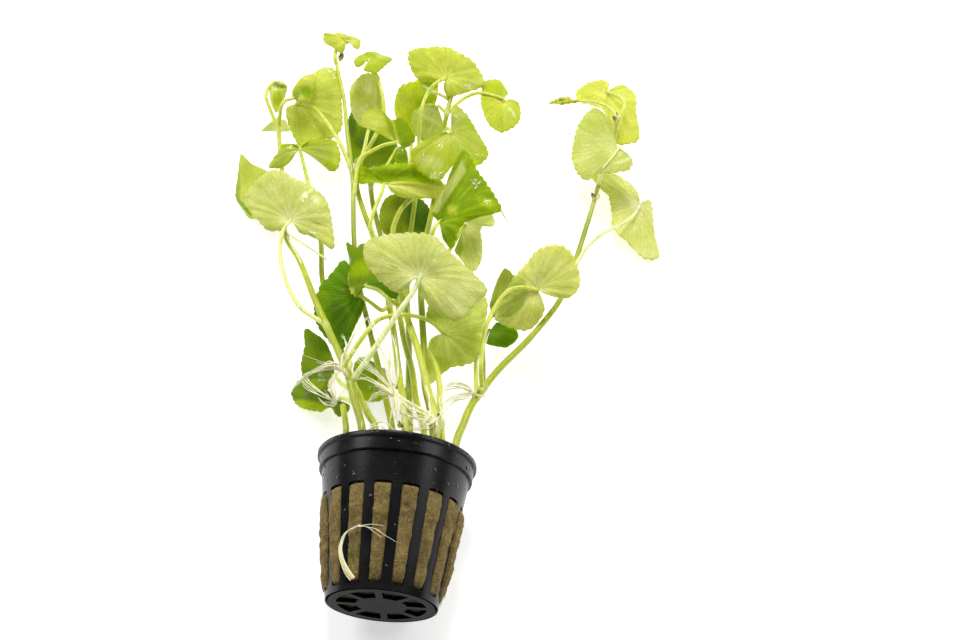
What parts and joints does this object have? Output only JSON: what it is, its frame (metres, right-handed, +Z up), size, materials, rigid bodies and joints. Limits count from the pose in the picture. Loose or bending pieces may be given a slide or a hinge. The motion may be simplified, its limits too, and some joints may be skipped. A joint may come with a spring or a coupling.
{
  "type": "brazilian pennywort in a net pot",
  "caption": "Bunch of round-leaved aquatic pennywort on long pale stems, rooted in a rockwool plug inside a slotted black net pot, lying on its side.",
  "frame": {"origin": "on the table, below the middle of the plant's box as it lies", "axes": "+Y from the pot's base towards the leaves, +Z up from the table, +X to the right seen from the pot's base"},
  "size_m": [0.1648, 0.2432, 0.0515],
  "materials": {
    "pot_plastic": "black moulded plastic with a satin sheen and small water drops",
    "rockwool": "wet olive-brown mineral fibre",
    "leaf": "wet living leaf, glossy, with pale veins and a paler underside",
    "stem": "wet pale green living stem",
    "bud": "yellow-green bud scales with brown stripes",
    "root": "wet cream root"
  },
  "bodies": {
    "root": {"bud_tip": "bud", "buds_runner": "bud", "leaf_back_dark": "leaf", "leaf_base_dark": "leaf", "leaf_base_left": "leaf", "leaf_base_left_upper": "leaf", "leaf_behind_stems": "leaf", "leaf_centre_left": "leaf", "leaf_centre_left_top": "leaf", "leaf_centre_upper": "leaf", "leaf_curled_young": "leaf", "leaf_folded": "leaf", "leaf_front": "leaf", "leaf_front_under": "leaf", "leaf_left_behind": "leaf", "leaf_left_big": "leaf", "leaf_left_middle": "leaf", "leaf_left_sliver": "leaf", "leaf_middle": "leaf", "leaf_middle_back": "leaf", "leaf_right_bright": "leaf", "leaf_right_low": "leaf", "leaf_right_small": "leaf", "leaf_right_upper": "leaf", "leaf_rolled_young": "leaf", "leaf_runner_behind": "leaf", "leaf_runner_first": "leaf", "leaf_runner_low": "leaf", "leaf_runner_lower": "leaf", "leaf_runner_top": "leaf", "leaf_runner_upper": "leaf", "leaf_tip": "leaf", "leaf_tip_small": "leaf", "leaf_top_centre": "leaf", "leaf_top_middle": "leaf", "leaf_top_right": "leaf", "leaf_upper_left": "leaf", "net_pot": "pot_plastic", "rockwool": "rockwool", "root_loop": "root", "roots_centre": "root", "roots_left": "root", "roots_left_upper": "root", "roots_mouth": "root", "roots_runner": "root", "stem_arched": "stem", "stem_back": "stem", "stem_base_left": "stem", "stem_fifth": "stem", "stem_fourth": "stem", "stem_inner_right": "stem", "stem_left": "stem", "stem_pale": "stem", "stem_right": "stem", "stem_second": "stem", "stem_tip": "stem"}
  },
  "joints": []
}
